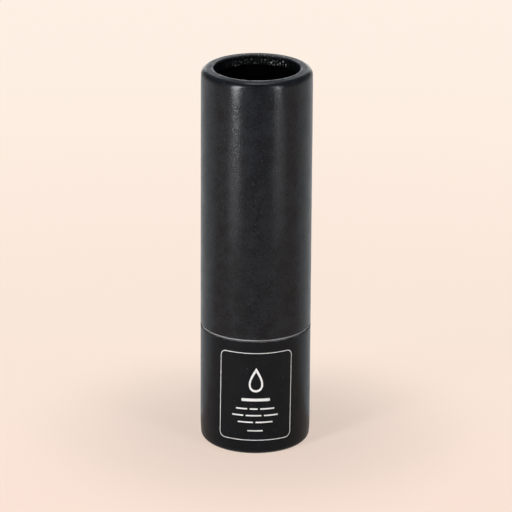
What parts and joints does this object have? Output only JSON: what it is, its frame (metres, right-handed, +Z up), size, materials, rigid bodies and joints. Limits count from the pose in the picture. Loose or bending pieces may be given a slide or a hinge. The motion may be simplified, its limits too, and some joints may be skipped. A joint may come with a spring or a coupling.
{
  "type": "lip balm stick",
  "caption": "Push-up lip balm in a rolled paper tube: tall slip-on cap, short base, and a pressed board cup that slides up the neck and lifts the balm.",
  "frame": {"origin": "on the tube's axis, level with the flat foot that it stands on", "axes": "+Z up the tube's axis towards the cap's rolled rim, -Y out of the printed front of the base"},
  "size_m": [0.02, 0.02, 0.0703],
  "materials": {
    "black_paper": "matt black wrap with a faint sheen",
    "grey_board": "raw grey recycled board",
    "inner_ply": "raw brown paper",
    "black_board": "matt black pressed board",
    "neck_paper": "raw brown wound board",
    "greaseproof": "smooth greaseproof paper",
    "push_board": "raw brown pressed board",
    "stiffener_board": "raw grey board",
    "balm_wax": "soft pale yellow wax"
  },
  "bodies": {
    "base": {"base_paper_wrap": "black_paper", "base_tube_board": "grey_board", "base_inner_ply": "inner_ply", "neck_tube": "neck_paper", "neck_greaseproof_liner": "greaseproof"},
    "push_carriage": {"push_cup": "push_board", "push_cup_stiffener": "stiffener_board", "balm_base_paper": "greaseproof", "balm": "balm_wax"},
    "cap": {"cap_paper_wrap": "black_paper", "cap_tube_board": "grey_board", "cap_inner_ply": "inner_ply", "cap_end_cup": "black_board"}
  },
  "joints": [
    {"name": "balm_push", "type": "slide", "parent": "base", "child": "push_carriage", "axis": [0, 0, 1], "range_m": [0, 0.0538]},
    {"name": "cap_pull", "type": "slide", "parent": "push_carriage", "child": "cap", "axis": [0, 0, 1], "range_m": [0, 0.0508]}
  ]
}
